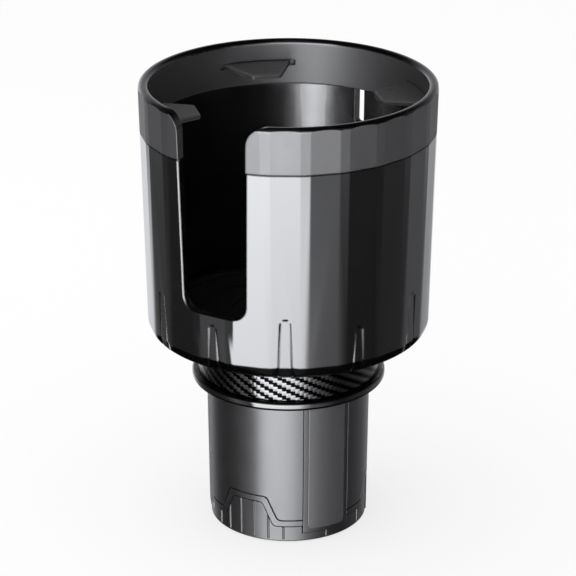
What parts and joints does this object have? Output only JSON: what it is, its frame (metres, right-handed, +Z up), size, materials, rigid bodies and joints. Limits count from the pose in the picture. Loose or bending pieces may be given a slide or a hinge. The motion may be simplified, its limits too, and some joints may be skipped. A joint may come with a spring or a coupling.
{
  "type": "cup holder expander",
  "caption": "Faceted drink cup with a side handle slot, soft-flapped rim ring and carbon-look neck, on a twist-to-expand plug base with sliding rubber-padded jaws.",
  "frame": {"origin": "centre of the base's underside, on the twist axis", "axes": "+Z up along the twist axis; the handle slot of the cup faces -Y; +X to the right seen from the slot"},
  "size_m": [0.1156, 0.114, 0.1833],
  "materials": {
    "cup_gloss": "high gloss",
    "ring_soft": "satin",
    "flap_rubber": "matte",
    "mat_rubber": "matte",
    "collar_plastic": "satin",
    "carbon_film": "twill under gloss",
    "screw_steel": "zinc plated",
    "slide_plastic": "natural",
    "flange_plastic": "gloss",
    "base_plastic": "satin gloss",
    "jaw_plastic": "satin gloss",
    "pad_rubber": "matte",
    "pin_steel": "ground"
  },
  "bodies": {
    "base": {"base_housing": "base_plastic", "base_flange": "flange_plastic", "flange_screws": "screw_steel", "guide_plate": "slide_plastic", "base_cap": "collar_plastic", "cap_screws": "screw_steel"},
    "cup": {"cup_shell": "cup_gloss", "rim_ring": "ring_soft", "cup_mat": "mat_rubber", "neck_collar": "collar_plastic", "carbon_band": "carbon_film", "collar_screws": "screw_steel", "scroll_plate": "slide_plastic", "hub_screws": "screw_steel", "rim_flap_front_right": "flap_rubber", "rim_flap_rear_right": "flap_rubber", "rim_flap_rear_left": "flap_rubber", "rim_flap_front_left": "flap_rubber"},
    "jaw_right": {"jaw_right": "jaw_plastic", "grip_pad_right": "pad_rubber", "follower_pin_right": "pin_steel"},
    "jaw_rear": {"jaw_rear": "jaw_plastic", "grip_pad_rear": "pad_rubber", "follower_pin_rear": "pin_steel"},
    "jaw_left": {"jaw_left": "jaw_plastic", "grip_pad_left": "pad_rubber", "follower_pin_left": "pin_steel"}
  },
  "joints": [
    {"name": "cup_twist", "type": "hinge", "parent": "base", "child": "cup", "pos_m": [0, 0, 0.0642], "axis": [0, 0, -1], "range_deg": [0, 90]},
    {"name": "jaw_right_slide", "type": "slide", "parent": "base", "child": "jaw_right", "axis": [0.866, -0.5, 0], "range_m": [0, 0.008]},
    {"name": "jaw_rear_slide", "type": "slide", "parent": "base", "child": "jaw_rear", "axis": [0, 1, 0], "range_m": [0, 0.008]},
    {"name": "jaw_left_slide", "type": "slide", "parent": "base", "child": "jaw_left", "axis": [-0.866, -0.5, 0], "range_m": [0, 0.008]}
  ],
  "couplings": [
    {"joint": "jaw_right_slide", "follows": "cup_twist", "m_per_rad": 0.005093},
    {"joint": "jaw_rear_slide", "follows": "cup_twist", "m_per_rad": 0.005093},
    {"joint": "jaw_left_slide", "follows": "cup_twist", "m_per_rad": 0.005093}
  ]
}
